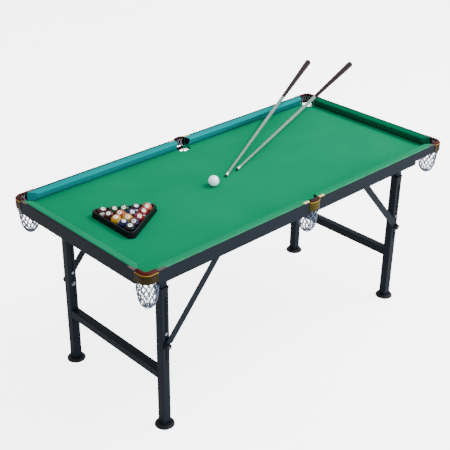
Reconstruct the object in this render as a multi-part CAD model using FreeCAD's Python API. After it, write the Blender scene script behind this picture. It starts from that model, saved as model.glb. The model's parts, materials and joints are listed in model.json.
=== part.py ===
import FreeCAD, Part
import math
import os

os.makedirs("parts", exist_ok=True)

# Millimetres. X runs along the table, Y across it, Z up from the floor.
V = FreeCAD.Vector
Z_AXIS = V(0, 0, 1)
Y_AXIS = V(0, 1, 0)

# table top
table_length = 1400.0
table_width = 668.0
rail_top = 650.0
apron_thickness = 8.0
long_apron_bottom = 604.0
short_apron_bottom = 606.0
apron_step_x = 541.0
apron_step_z = 620.0
board_bottom = 612.0
cloth_bottom = 619.0
bed_top = 620.0
apron_chamfer = 1.0

# cushions, measured inwards from the inner face of the apron
nose_reach = 26.0
nose_low = 641.5
nose_high = 645.0
cushion_foot = 18.0
corner_nose_gap = 26.0

# corner pockets
corner_span = 48.0
corner_round = 26.0
corner_inset = 36.0
corner_hole = 25.0
skirt_wall = 3.0
skirt_bottom = 617.0
corner_net_radius = 30.0
corner_net_bottoms = {
    "back_right": 528.0,
    "back_left": 523.0,
    "front_right": 528.0,
    "front_left": 517.0,
}

# middle pockets
middle_centre_y = 306.0
middle_hole = 27.0
middle_half_width = 23.8
middle_outer = 38.0
middle_skirt = 35.0
middle_cap_inner = 21.0
middle_skirt_bottom = 615.0
middle_net_radius = 31.0
middle_net_bottom = 524.0
net_wall = 1.5

# plates on the rail beside every pocket
plate_length = 30.0
plate_width = 10.0
plate_top = 651.0
cap_top = 654.6
screw_radius = 1.8

# legs
leg_x = 566.0
leg_y = 241.0
hinge_z = 556.0
upper_side = 25.0
upper_wall = 1.5
upper_bottom = 232.0
lower_side = 30.0
lower_wall = 2.0
lower_bottom = 15.0
lower_top = 517.0
collar_side = 33.0
collar_top = 523.0
slot_low = 260.0
slot_high = 490.0
slot_width = 7.0
crossbar_z = 197.0
rod_radius = 4.0
running_gap = 0.05
cheek_gap = 0.5
cheek_thickness = 2.5
cheek_half_width = 13.0
bolt_radius = 3.0
upper_bolt_z = 358.0
stud_z = 315.0

# braces
pivot_x = 352.0
pivot_z = 560.0
brace_inner_y = 259.5
brace_thickness = 3.0
brace_half_width = 12.5
knob_radius = 11.0
knob_thickness = 9.0

# feet
foot_radius = 32.5
foot_height = 11.7
plug_bottom = 12.0

# balls, rack and cues
ball_radius = 18.5
cue_ball_at = (-130.0, 2.0)
object_ball_radius = 17.3
object_ball_pitch = 34.7
rack_at = (-500.0, 1.0)
rack_turn = -120.5
rack_inner_offset = 18.4
rack_top_offset = 24.5
rack_base_offset = 26.5
rack_inner_round = 12.0
rack_outer_round = 16.0
rack_height = 21.0
cue_length = 1100.0
cue_tip_radius = 4.2
cue_joint_radius = 7.0
cue_end_radius = 12.5
cue_joint_share = 0.63
cue_tips = ((-57.0, 21.0), (7.0, 33.0))
cue_headings = (27.35, 19.2)
cue_rises = (3.08, 2.85)

half_length = table_length / 2
half_width = table_width / 2
board_x = half_length - apron_thickness
board_y = half_width - apron_thickness
corner_x = half_length - corner_span
corner_y = half_width - corner_span
pocket_x = half_length - corner_inset
pocket_y = half_width - corner_inset
brace_outer_y = brace_inner_y + brace_thickness


def block(x0, x1, y0, y1, z0, z1):
    return Part.makeBox(x1 - x0, y1 - y0, z1 - z0, V(x0, y0, z0))


def rod(radius, start, end):
    path = V(*end) - V(*start)
    return Part.makeCylinder(radius, path.Length, V(*start), path)


def prism(points, z0, z1):
    wire = Part.makePolygon([V(x, y, z0) for x, y in points + points[:1]])
    return Part.Face(wire).extrude(V(0, 0, z1 - z0))


def lathe(section, centre, start=0.0, sweep=360.0):
    """Turns a section of (radius, height) points about a vertical line."""
    wire = Part.makePolygon([V(r, 0, z) for r, z in section + section[:1]])
    solid = Part.Face(wire).revolve(V(0, 0, 0), Z_AXIS, sweep)
    solid.rotate(V(0, 0, 0), Z_AXIS, start)
    solid.translate(V(centre[0], centre[1], 0))
    return solid


def mirror_x(shape):
    return shape.mirror(V(0, 0, 0), V(1, 0, 0))


def mirror_y(shape):
    return shape.mirror(V(0, 0, 0), V(0, 1, 0))


def corners(shape):
    """The shape at its own corner (+X, +Y) and at the other three."""
    back_left = mirror_x(shape)
    return {
        "back_right": shape,
        "back_left": back_left,
        "front_right": mirror_y(shape),
        "front_left": mirror_y(back_left),
    }


def save(name, *shapes):
    solids = [solid for shape in shapes for solid in shape.Solids]
    whole = solids[0] if len(solids) == 1 else Part.makeCompound(solids)
    whole.exportStep("parts/" + name + ".step")


def along_z(shape, length):
    """The edges of a shape that run straight up and are about that long."""
    return [
        edge
        for edge in shape.Edges
        if edge.BoundBox.XLength < 1e-6
        and edge.BoundBox.YLength < 1e-6
        and abs(edge.BoundBox.ZLength - length) < 1e-3
    ]


def square_tube(x, y, side, wall, z0, z1, radius):
    half = side / 2
    outer = block(x - half, x + half, y - half, y + half, z0, z1)
    outer = outer.makeFillet(radius, along_z(outer, z1 - z0))
    inside = half - wall
    return outer.cut(block(x - inside, x + inside, y - inside, y + inside, z0 - 1, z1 + 1))


# bed board and cloth
def bed_outline(z0, z1):
    sheet = block(-board_x, board_x, -board_y, board_y, z0, z1)
    hole = rod(corner_hole, (pocket_x, pocket_y, z0 - 1), (pocket_x, pocket_y, z1 + 1))
    beyond = block(pocket_x, half_length, pocket_y, half_width, z0 - 1, z1 + 1)
    for cut in corners(hole.fuse(beyond)).values():
        sheet = sheet.cut(cut)
    for y in (-middle_centre_y, middle_centre_y):
        sheet = sheet.cut(rod(middle_hole, (0, y, z0 - 1), (0, y, z1 + 1)))
    return sheet


save("bed_board", bed_outline(board_bottom, cloth_bottom))
save("bed_cloth", bed_outline(cloth_bottom, bed_top))


# aprons
def chamfer_top(shape, inner):
    """Breaks the two long top edges and leaves the ends square."""
    edges = [
        edge
        for edge in shape.Edges
        if edge.BoundBox.ZMin > rail_top - 0.01
        and max(edge.BoundBox.XLength, edge.BoundBox.YLength) > 100
    ]
    return shape.makeChamfer(inner, edges)


def long_apron():
    board = block(-corner_x, corner_x, board_y, half_width, long_apron_bottom, rail_top)
    mouth = block(
        -middle_half_width, middle_half_width,
        board_y - 1, half_width + 1, middle_skirt_bottom, rail_top + 1,
    )
    return chamfer_top(board.cut(mouth), apron_chamfer)


def short_apron():
    board = block(board_x, half_length, -corner_y, corner_y, short_apron_bottom, rail_top)
    return chamfer_top(board, apron_chamfer)


back_apron = long_apron()
step = block(
    apron_step_x, corner_x + 1, board_y - 1, half_width + 1,
    long_apron_bottom - 1, apron_step_z,
)
save("apron_back", back_apron)
save("apron_front", mirror_y(back_apron.cut(step)))
save("apron_right", short_apron())
save("apron_left", mirror_x(short_apron()))

# cushions
cushion_section = [
    (0.0, bed_top),
    (0.0, rail_top - apron_chamfer),
    (3.0, rail_top),
    (nose_reach - 5.0, rail_top - 0.8),
    (nose_reach - 1.2, rail_top - 2.6),
    (nose_reach, nose_high),
    (nose_reach, nose_low),
    (cushion_foot, bed_top),
]


def cushion_bar(length):
    """A bar along +X from the origin, its back at y = 0 and its nose towards -Y."""
    wire = Part.makePolygon(
        [V(0, -v, z) for v, z in cushion_section + cushion_section[:1]]
    )
    return Part.Face(wire).extrude(V(length, 0, 0))


def long_cushion():
    nose_end = corner_x - corner_nose_gap
    ends = prism(
        [
            (24.0, 0.0),
            (corner_x, 0.0),
            (nose_end, -nose_reach),
            (30.0, -nose_reach),
        ],
        bed_top, rail_top,
    )
    bar = cushion_bar(half_length).common(ends)
    bar.translate(V(0, board_y, 0))
    return bar


def short_cushion():
    nose_end = corner_y - corner_nose_gap
    bar = cushion_bar(table_width)
    bar.translate(V(-half_width, 0, 0))
    ends = prism(
        [
            (-corner_y, 0.0),
            (corner_y, 0.0),
            (nose_end, -nose_reach),
            (-nose_end, -nose_reach),
        ],
        bed_top, rail_top,
    )
    bar = bar.common(ends)
    bar.rotate(V(0, 0, 0), Z_AXIS, -90)
    bar.translate(V(board_x, 0, 0))
    return bar


for where, bar in corners(long_cushion()).items():
    save("cushion_" + where, bar)
save("cushion_right_end", short_cushion())
save("cushion_left_end", mirror_x(short_cushion()))

# pocket liners, their sections measured inwards from the outer face of the apron
corner_liner_section = [
    (skirt_wall, skirt_bottom),
    (-0.4, skirt_bottom),
    (-0.8, 634.0),
    (-0.6, 643.0),
    (0.6, 648.0),
    (4.0, 652.6),
    (8.5, cap_top),
    (12.0, cap_top),
    (14.0, 652.5),
    (14.0, 649.5),
    (12.0, 647.0),
    (5.0, 646.0),
    (skirt_wall, 643.0),
]


def rounded_corner(inset, z0, z1):
    """The square of the pocket with its outer corner rounded, set in from the apron."""
    x1 = half_length - inset
    y1 = half_width - inset
    shape = block(corner_x, x1, corner_y, y1, z0, z1)
    outer = [
        edge
        for edge in along_z(shape, z1 - z0)
        if edge.BoundBox.XMin > x1 - 0.01 and edge.BoundBox.YMin > y1 - 0.01
    ]
    return shape.makeFillet(corner_round - inset, outer)


def corner_liner():
    """The liner along both aprons and round the corner, with the ledge round the hole."""
    centre = (half_length - corner_round, half_width - corner_round)
    bend = lathe([(corner_round - d, z) for d, z in corner_liner_section], centre, 0.0, 90.0)
    wire = Part.makePolygon(
        [V(corner_x, half_width - d, z) for d, z in corner_liner_section[-1:] + corner_liner_section]
    )
    long_arm = Part.Face(wire).extrude(V(centre[0] - corner_x, 0, 0))
    wire = Part.makePolygon(
        [V(half_length - d, corner_y, z) for d, z in corner_liner_section[-1:] + corner_liner_section]
    )
    short_arm = Part.Face(wire).extrude(V(0, centre[1] - corner_y, 0))
    ledge = rounded_corner(skirt_wall, skirt_bottom, skirt_bottom + 2.5)
    low, high = skirt_bottom - 1, skirt_bottom + 4
    for part in (
        block(0, pocket_x, 0, board_y, low, high),
        block(0, board_x, 0, pocket_y, low, high),
        rod(corner_hole, (pocket_x, pocket_y, low), (pocket_x, pocket_y, high)),
    ):
        ledge = ledge.cut(part)
    return bend.fuse([long_arm, short_arm, ledge]).removeSplitter()


for where, liner in corners(corner_liner()).items():
    save("liner_" + where, liner)

middle_liner_section = [
    (middle_skirt, middle_skirt_bottom),
    (middle_outer - 0.4, middle_skirt_bottom),
    (middle_outer, 641.0),
    (middle_outer - 0.6, 647.0),
    (middle_outer - 4.0, 652.0),
    (middle_outer - 8.0, cap_top),
    (middle_cap_inner + 4.0, cap_top),
    (middle_cap_inner, 652.0),
    (middle_cap_inner, 649.0),
    (middle_cap_inner + 2.0, 647.0),
    (middle_skirt - 3.0, 646.0),
    (middle_skirt, 643.0),
]
middle_liner = lathe(middle_liner_section, (0.0, middle_centre_y), 0.0, 180.0)
middle_liner = middle_liner.common(
    block(
        -middle_half_width, middle_half_width,
        middle_centre_y, half_width + 20, middle_skirt_bottom, cap_top,
    )
)
save("liner_back_middle", middle_liner)
save("liner_front_middle", mirror_y(middle_liner))


# nets: closed bags of the outer shape, open at the top
def bag(profile, centre):
    outer = profile
    inner = [(max(r - net_wall, 0.0), z) for r, z in profile[:-2]]
    floor = profile[-1][1] + net_wall
    inner = inner + [(0.0, floor)]
    return lathe(outer + inner[::-1], centre)


def corner_net_profile(bottom):
    drop = board_bottom - bottom
    return [
        (corner_net_radius, board_bottom),
        (corner_net_radius, board_bottom - 0.28 * drop),
        (corner_net_radius - 1.5, board_bottom - 0.50 * drop),
        (corner_net_radius - 5.0, board_bottom - 0.70 * drop),
        (corner_net_radius - 11.0, board_bottom - 0.86 * drop),
        (corner_net_radius - 20.0, board_bottom - 0.96 * drop),
        (0.0, bottom),
    ]


middle_net_profile = [
    (middle_net_radius - 0.5, long_apron_bottom),
    (middle_net_radius, 588.0),
    (middle_net_radius - 0.6, 570.0),
    (middle_net_radius - 3.6, 553.0),
    (middle_net_radius - 9.0, 538.0),
    (middle_net_radius - 17.0, 528.0),
    (0.0, middle_net_bottom),
]
for where, bottom in corner_net_bottoms.items():
    net = bag(corner_net_profile(bottom), (pocket_x, pocket_y))
    save("net_" + where, corners(net)[where])
middle_net = bag(middle_net_profile, (0.0, middle_centre_y))
save("net_back_middle", middle_net)
save("net_front_middle", mirror_y(middle_net))


# plates on the rail beside the pockets
def plate(x0, x1, y0, y1, screws):
    sheet = block(x0, x1, y0, y1, rail_top, plate_top)
    sheet = sheet.makeFillet(1.5, along_z(sheet, plate_top - rail_top))
    for x, y in screws:
        head = rod(screw_radius, (x, y, plate_top), (x, y, plate_top + 0.5))
        sheet = sheet.fuse(head)
    return sheet


inner_y = half_width - plate_width
inner_x = half_length - plate_width
mid_y = half_width - plate_width / 2
mid_x = half_length - plate_width / 2
long_plate = plate(
    corner_x - plate_length, corner_x, inner_y, half_width,
    [(corner_x - 24.0, mid_y), (corner_x - 6.0, mid_y)],
)
short_plate = plate(
    inner_x, half_length, corner_y - plate_length, corner_y,
    [(mid_x, corner_y - 24.0), (mid_x, corner_y - 6.0)],
)
middle_plate = plate(
    middle_half_width, middle_half_width + 24.0, inner_y, half_width,
    [(middle_half_width + 5.0, mid_y), (middle_half_width + 19.0, mid_y)],
)
plates = []
for piece in (long_plate, short_plate, middle_plate):
    plates.extend(corners(piece).values())
save("pocket_plates", *plates)


# leg brackets under the board
def leg_bracket():
    low = board_bottom - 3.0
    half = upper_side / 2
    base = block(leg_x - 22, leg_x + 22, leg_y - 20, leg_y + 20, low, board_bottom)
    for side in (-1, 1):
        near = leg_y + side * (half + cheek_gap)
        far = near + side * cheek_thickness
        y0, y1 = min(near, far), max(near, far)
        cheek = block(
            leg_x - cheek_half_width, leg_x + cheek_half_width, y0, y1, hinge_z, low,
        )
        cheek = cheek.fuse(
            rod(cheek_half_width, (leg_x, y0, hinge_z), (leg_x, y1, hinge_z))
        )
        base = base.fuse(cheek)
    bore = rod(
        rod_radius + running_gap,
        (leg_x, leg_y - 30, hinge_z), (leg_x, leg_y + 30, hinge_z),
    )
    base = base.cut(bore)
    for x in (leg_x - 17.5, leg_x + 17.5):
        base = base.fuse(rod(3.0, (x, leg_y, low - 1.6), (x, leg_y, low)))
    return base.removeSplitter()


save("leg_brackets", *corners(leg_bracket()).values())


# upper legs
def upper_tube():
    half = upper_side / 2
    top = hinge_z + half
    tube = square_tube(leg_x, leg_y, upper_side, upper_wall, upper_bottom, top, 2.0)
    keep = block(
        leg_x - half, leg_x + half, leg_y - half, leg_y + half, upper_bottom, hinge_z,
    ).fuse(rod(half, (leg_x, leg_y - half, hinge_z), (leg_x, leg_y + half, hinge_z)))
    tube = tube.common(keep)
    for z in (upper_bolt_z, stud_z):
        tube = tube.cut(rod(bolt_radius, (leg_x, leg_y - 20, z), (leg_x, leg_y + 20, z)))
    axle = rod(rod_radius, (leg_x, leg_y - 20, hinge_z), (leg_x, leg_y + 20, hinge_z))
    return tube.cut(axle)


upper = upper_tube()
save("upper_tubes_right", upper, mirror_y(upper))
save("upper_tubes_left", mirror_x(upper), mirror_x(mirror_y(upper)))


def hinge_rod():
    head_in = leg_y + upper_side / 2 + cheek_gap + cheek_thickness + 0.3
    head_out = head_in + 1.7
    bar = rod(rod_radius, (leg_x, -head_in, hinge_z), (leg_x, head_in, hinge_z))
    for side in (-1, 1):
        bar = bar.fuse(
            rod(6.0, (leg_x, side * head_in, hinge_z), (leg_x, side * head_out, hinge_z))
        )
    return bar


save("hinge_rod_right", hinge_rod())
save("hinge_rod_left", mirror_x(hinge_rod()))


def leg_bolts():
    """The cross bolt and the clamping stud of one leg, with washers and heads."""
    outer = leg_y + lower_side / 2 + 0.2
    inner = leg_y - lower_side / 2 - 0.2
    bolt = rod(bolt_radius, (leg_x, inner, upper_bolt_z), (leg_x, outer, upper_bolt_z))
    bolt = bolt.fuse(
        rod(5.5, (leg_x, outer, upper_bolt_z), (leg_x, outer + 2.6, upper_bolt_z))
    )
    bolt = bolt.fuse(
        rod(5.5, (leg_x, inner - 3.0, upper_bolt_z), (leg_x, inner, upper_bolt_z))
    )
    end = brace_outer_y + 0.1 + knob_thickness + 1.5
    stud = rod(bolt_radius, (leg_x, inner, stud_z), (leg_x, end, stud_z))
    stud = stud.fuse(
        rod(8.0, (leg_x, outer, stud_z), (leg_x, brace_inner_y - 0.1, stud_z))
    )
    stud = stud.fuse(rod(8.0, (leg_x, inner - 1.2, stud_z), (leg_x, inner, stud_z)))
    stud = stud.fuse(rod(5.5, (leg_x, inner - 4.5, stud_z), (leg_x, inner - 1.2, stud_z)))
    return bolt, stud


bolts = leg_bolts()
right_bolts = [*bolts, *[mirror_y(piece) for piece in bolts]]
save("leg_bolts_right", *right_bolts)
save("leg_bolts_left", *[mirror_x(piece) for piece in right_bolts])


# lower frames
def lower_tube():
    tube = square_tube(leg_x, leg_y, lower_side, lower_wall, lower_bottom, lower_top, 3.0)
    half = slot_width / 2
    slot = block(
        leg_x - half, leg_x + half, leg_y - 20, leg_y + 20,
        slot_low + half, slot_high - half,
    )
    for z in (slot_low + half, slot_high - half):
        slot = slot.fuse(rod(half, (leg_x, leg_y - 20, z), (leg_x, leg_y + 20, z)))
    return tube.cut(slot)


lower = lower_tube()
save("lower_tubes_right", lower, mirror_y(lower))
save("lower_tubes_left", mirror_x(lower), mirror_x(mirror_y(lower)))


def crossbar():
    half = lower_side / 2
    reach = leg_y - half
    bar = block(
        leg_x - half, leg_x + half, -reach, reach, crossbar_z - half, crossbar_z + half,
    )
    edges = [edge for edge in bar.Edges if edge.BoundBox.YLength > 100]
    bar = bar.makeFillet(3.0, edges)
    inside = half - lower_wall
    hollow = block(
        leg_x - inside, leg_x + inside, -reach - 1, reach + 1,
        crossbar_z - inside, crossbar_z + inside,
    )
    return bar.cut(hollow)


save("crossbar_right", crossbar())
save("crossbar_left", mirror_x(crossbar()))


def collar():
    half = collar_side / 2
    ring = block(leg_x - half, leg_x + half, leg_y - half, leg_y + half, lower_top, collar_top)
    ring = ring.makeFillet(4.0, along_z(ring, collar_top - lower_top))
    inside = upper_side / 2 + 0.25
    return ring.cut(
        block(
            leg_x - inside, leg_x + inside, leg_y - inside, leg_y + inside,
            lower_top - 1, collar_top + 1,
        )
    )


def plug():
    half = lower_side / 2
    inside = half - lower_wall
    cap = block(leg_x - half, leg_x + half, leg_y - half, leg_y + half, plug_bottom, lower_bottom)
    cap = cap.makeFillet(3.0, along_z(cap, lower_bottom - plug_bottom))
    cap = cap.fuse(
        block(
            leg_x - inside, leg_x + inside, leg_y - inside, leg_y + inside,
            lower_bottom, lower_bottom + 20,
        )
    )
    bore = rod(rod_radius + running_gap, (leg_x, leg_y, 0), (leg_x, leg_y, 60))
    return cap.cut(bore)


fittings = [collar(), plug()]
fittings = [*fittings, *[mirror_y(piece) for piece in fittings]]
save("tube_fittings_right", *fittings)
save("tube_fittings_left", *[mirror_x(piece) for piece in fittings])

# feet
foot_section = [
    (0.0, 0.0),
    (foot_radius, 0.0),
    (foot_radius, 3.0),
    (foot_radius - 4.5, 9.0),
    (foot_radius - 7.0, 10.0),
    (11.0, 10.0),
    (10.0, foot_height),
    (rod_radius, foot_height),
    (rod_radius, 33.0),
    (0.0, 33.0),
]
for where, foot in corners(lathe(foot_section, (leg_x, leg_y))).items():
    save("foot_" + where, foot)


# knobs
def knob():
    """A round lobed knob on the clamping stud, its bore a running fit."""
    y0 = brace_outer_y + 0.1
    y1 = y0 + knob_thickness
    body = rod(9.0, (leg_x, y0, stud_z), (leg_x, y0 + 4.0, stud_z))
    body = body.fuse(rod(knob_radius, (leg_x, y0 + 4.0, stud_z), (leg_x, y1, stud_z)))
    for i in range(8):
        turn = math.radians(45.0 * i + 22.5)
        x = leg_x + (knob_radius + 2.4) * math.cos(turn)
        z = stud_z + (knob_radius + 2.4) * math.sin(turn)
        body = body.cut(rod(3.6, (x, y0 + 3.0, z), (x, y1 + 1.0, z)))
    rim = [
        edge
        for edge in body.Edges
        if edge.BoundBox.YMin > y1 - 0.01 and edge.Length > 2.0
    ]
    body = body.makeFillet(0.8, rim)
    bore = rod(bolt_radius + running_gap, (leg_x, y0 - 1, stud_z), (leg_x, y1 + 1, stud_z))
    return body.cut(bore)


for where, piece in corners(knob()).items():
    save("knob_" + where, piece)


# braces
def brace():
    """A flat bar from its pivot to the stud, with an open hook at the stud."""
    pivot = V(pivot_x, brace_inner_y, pivot_z)
    stud = V(leg_x, brace_inner_y, stud_z)
    along = (stud - pivot).normalize()
    inward = V(along.z, 0, -along.x)
    across = V(0, brace_thickness, 0)

    def disc(centre, radius):
        return Part.makeCylinder(radius, brace_thickness, centre, Y_AXIS)

    def slab(points):
        wire = Part.makePolygon(points + points[:1])
        return Part.Face(wire).extrude(across)

    side = inward * brace_half_width
    bar = slab([pivot + side, stud + side, stud - side, pivot - side])
    bar = bar.fuse(disc(pivot, brace_half_width)).fuse(disc(stud, brace_half_width))
    seat = bolt_radius + 0.4
    straight = stud + inward * 18
    level = stud + V(-22, 0, 1.2)
    mouth = slab([stud, straight, level])
    for end in (straight, level):
        path = end - stud
        edge = V(path.z, 0, -path.x).normalize() * seat
        mouth = mouth.fuse(slab([stud + edge, end + edge, end - edge, stud - edge]))
    bar = bar.cut(mouth.fuse(disc(stud, seat)))
    return bar.cut(disc(pivot, rod_radius + running_gap)).removeSplitter()


for where, bar in corners(brace()).items():
    save("brace_" + where, bar)


def brace_bracket():
    half = 11.0
    y0 = brace_outer_y + 0.5
    y1 = y0 + 3.0
    plate_ = block(pivot_x - half, pivot_x + half, y0, y1, pivot_z, board_bottom)
    plate_ = plate_.fuse(rod(half, (pivot_x, y0, pivot_z), (pivot_x, y1, pivot_z)))
    plate_ = plate_.fuse(
        block(pivot_x - half, pivot_x + half, y0, y0 + 22, board_bottom - 3, board_bottom)
    )
    head = brace_inner_y - 0.3
    pin = rod(rod_radius, (pivot_x, head, pivot_z), (pivot_x, y1 + 1.8, pivot_z))
    pin = pin.fuse(rod(6.0, (pivot_x, head - 1.6, pivot_z), (pivot_x, head, pivot_z)))
    pin = pin.fuse(rod(6.0, (pivot_x, y1, pivot_z), (pivot_x, y1 + 1.8, pivot_z)))
    screw = rod(3.0, (pivot_x, y0 + 13, board_bottom - 4.6), (pivot_x, y0 + 13, board_bottom - 3))
    return plate_.fuse(pin).fuse(screw)


save("brace_brackets", *corners(brace_bracket()).values())

# balls
ball_z = bed_top + ball_radius + 0.05
save("cue_ball", Part.makeSphere(ball_radius, V(*cue_ball_at, ball_z)))

object_ball_z = bed_top + object_ball_radius + 0.05
row_gap = object_ball_pitch * math.sqrt(3) / 2
apex_reach = 4 * row_gap * 2 / 3


def in_rack(u, v):
    """A point of the rack: u towards its apex, v to the side, from its centroid."""
    turn = math.radians(rack_turn)
    x = rack_at[0] + u * math.cos(turn) - v * math.sin(turn)
    y = rack_at[1] + u * math.sin(turn) + v * math.cos(turn)
    return x, y


balls = []
for row in range(5):
    for place in range(row + 1):
        x, y = in_rack(apex_reach - row * row_gap, (place - row / 2) * object_ball_pitch)
        balls.append(Part.makeSphere(object_ball_radius, V(x, y, object_ball_z)))
save("object_balls", *balls)


def triangle(offset, rounding, z):
    """A rounded triangle that stands off from the outer ball centres."""
    edges = []
    reach = 4 * object_ball_pitch / math.sqrt(3) + 2 * (offset - rounding)
    for i in range(3):
        centre = 120.0 * i
        hub = V(
            reach * math.cos(math.radians(centre)),
            reach * math.sin(math.radians(centre)), z,
        )

        def at(angle):
            turn = math.radians(angle)
            return hub + V(rounding * math.cos(turn), rounding * math.sin(turn), 0)

        edges.append(Part.Arc(at(centre - 60), at(centre), at(centre + 60)).toShape())
    for i in range(3):
        start = edges[i].Vertexes[-1].Point
        end = edges[(i + 1) % 3].Vertexes[0].Point
        edges.append(Part.LineSegment(start, end).toShape())
    wire = Part.Wire(Part.__sortEdges__(edges))
    wire.rotate(V(0, 0, 0), Z_AXIS, rack_turn)
    wire.translate(V(rack_at[0], rack_at[1], 0))
    return wire


low = triangle(rack_base_offset, rack_outer_round, bed_top)
high = triangle(rack_top_offset, rack_outer_round, bed_top + rack_height)
shell = Part.makeLoft([low, high], True, True)
inside = Part.Face(triangle(rack_inner_offset, rack_inner_round, bed_top - 1))
hollow = inside.extrude(V(0, 0, rack_height + 2))
rack = shell.cut(hollow)
rim = [
    edge
    for edge in rack.Edges
    if edge.BoundBox.ZMin > bed_top + rack_height - 0.01
]
save("ball_rack", rack.makeFillet(2.5, rim))


# cues
def cue(tip, heading, rise):
    """Lies with its tip on the cloth and its butt over the rail."""
    joint = cue_length * cue_joint_share
    shaft = Part.makeCone(cue_tip_radius, cue_joint_radius, joint - 8, V(8, 0, 0), V(1, 0, 0))
    leather = Part.makeCylinder(cue_tip_radius - 0.2, 8, V(0, 0, 0), V(1, 0, 0))
    butt = Part.makeCone(
        cue_joint_radius, cue_end_radius, cue_length - joint - 12, V(joint, 0, 0), V(1, 0, 0)
    )
    end = Part.makeCylinder(
        cue_end_radius, 12, V(cue_length - 12, 0, 0), V(1, 0, 0)
    )
    end = end.makeFillet(5.0, [e for e in end.Edges if e.BoundBox.XMin > cue_length - 0.01])
    butt = butt.fuse(end)
    placed = []
    for piece in (shaft.fuse(leather), butt):
        piece.rotate(V(0, 0, 0), Y_AXIS, -rise)
        piece.rotate(V(0, 0, 0), Z_AXIS, heading)
        piece.translate(V(tip[0], tip[1], bed_top + cue_tip_radius + 0.3))
        placed.append(piece)
    return placed


for name, tip, heading, rise in zip(("long", "end"), cue_tips, cue_headings, cue_rises):
    shaft, butt = cue(tip, heading, rise)
    save("cue_over_" + name + "_rail_shaft", shaft)
    save("cue_over_" + name + "_rail_butt", butt)
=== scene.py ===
import json
import math
import random

import bmesh
import bpy
from mathutils import Matrix, Vector, noise

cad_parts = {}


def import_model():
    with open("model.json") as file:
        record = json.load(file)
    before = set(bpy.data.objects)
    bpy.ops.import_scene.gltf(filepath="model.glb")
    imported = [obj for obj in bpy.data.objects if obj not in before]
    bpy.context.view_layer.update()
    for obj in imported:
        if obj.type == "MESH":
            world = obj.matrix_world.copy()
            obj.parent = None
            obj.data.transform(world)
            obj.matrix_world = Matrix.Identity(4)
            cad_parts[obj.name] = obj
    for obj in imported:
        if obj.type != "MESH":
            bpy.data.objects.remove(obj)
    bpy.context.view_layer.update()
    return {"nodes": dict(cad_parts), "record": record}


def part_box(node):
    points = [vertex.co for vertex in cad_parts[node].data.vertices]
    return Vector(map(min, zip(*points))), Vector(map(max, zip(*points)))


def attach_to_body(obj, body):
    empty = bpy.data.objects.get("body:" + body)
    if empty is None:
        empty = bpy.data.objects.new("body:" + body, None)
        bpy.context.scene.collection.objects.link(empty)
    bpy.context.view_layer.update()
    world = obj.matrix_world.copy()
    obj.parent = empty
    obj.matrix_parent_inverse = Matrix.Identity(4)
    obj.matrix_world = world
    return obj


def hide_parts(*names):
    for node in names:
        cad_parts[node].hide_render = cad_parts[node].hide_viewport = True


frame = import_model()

NODES = frame["nodes"]
MM = 0.001

# the table's own measures, read from the frame
BED_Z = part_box("bed_cloth")[1][2]
RAIL_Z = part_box("apron_left")[1][2]
HALF_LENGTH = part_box("apron_right")[1][0]
HALF_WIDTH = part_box("apron_back")[1][1]
BOARD_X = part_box("bed_board")[1][0]
BOARD_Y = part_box("bed_board")[1][1]
CORNER_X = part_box("apron_back")[1][0]
CORNER_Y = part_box("apron_right")[1][1]
MIDDLE_Y = (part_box("net_back_middle")[0][1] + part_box("net_back_middle")[1][1]) / 2
POCKET_X, POCKET_Y = [(a + b) / 2 for a, b in zip(*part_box("net_back_right"))][:2]

# the rest of the table's measures
CORNER_HOLE = 25 * MM
CORNER_ROUND = 26 * MM
MIDDLE_HOLE = 27 * MM
NOSE_REACH = 26 * MM  # from a cushion's back to its nose
CUSHION_STEPS = 60
NET_COLUMNS = 12
NET_ROWS = 7
NET_CORD = 1.6 * MM
NET_KNOT = 2.0 * MM
LACE_CORD = 1.1 * MM
LACE_KNOT = 1.7 * MM
LACE_TOP = 644.6 * MM
GLOW = 4.0  # how bright the floor and the backdrop look to the camera
SIDES = {
    "back_right": (1, 1),
    "back_left": (-1, 1),
    "front_right": (1, -1),
    "front_left": (-1, -1),
}


# ---------------------------------------------------------------- materials
def nodes_of(mat):
    """A fresh tree with one principled shader wired to the surface."""
    tree = mat.node_tree
    tree.nodes.clear()
    out = tree.nodes.new("ShaderNodeOutputMaterial")
    shader = tree.nodes.new("ShaderNodeBsdfPrincipled")
    tree.links.new(shader.outputs["BSDF"], out.inputs["Surface"])
    return tree, shader


def add(tree, kind, **values):
    """A shader node with its settings, and its sockets by name."""
    node = tree.nodes.new(kind)
    for key, value in values.items():
        if key in node.inputs:
            node.inputs[key].default_value = value
        else:
            setattr(node, key, value)
    return node


def coordinates(tree, stretch=(1, 1, 1)):
    """The object's own coordinates, stretched."""
    place = add(tree, "ShaderNodeTexCoord")
    mapping = add(tree, "ShaderNodeMapping")
    mapping.inputs["Scale"].default_value = stretch
    tree.links.new(place.outputs["Object"], mapping.inputs["Vector"])
    return mapping.outputs["Vector"]


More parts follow.
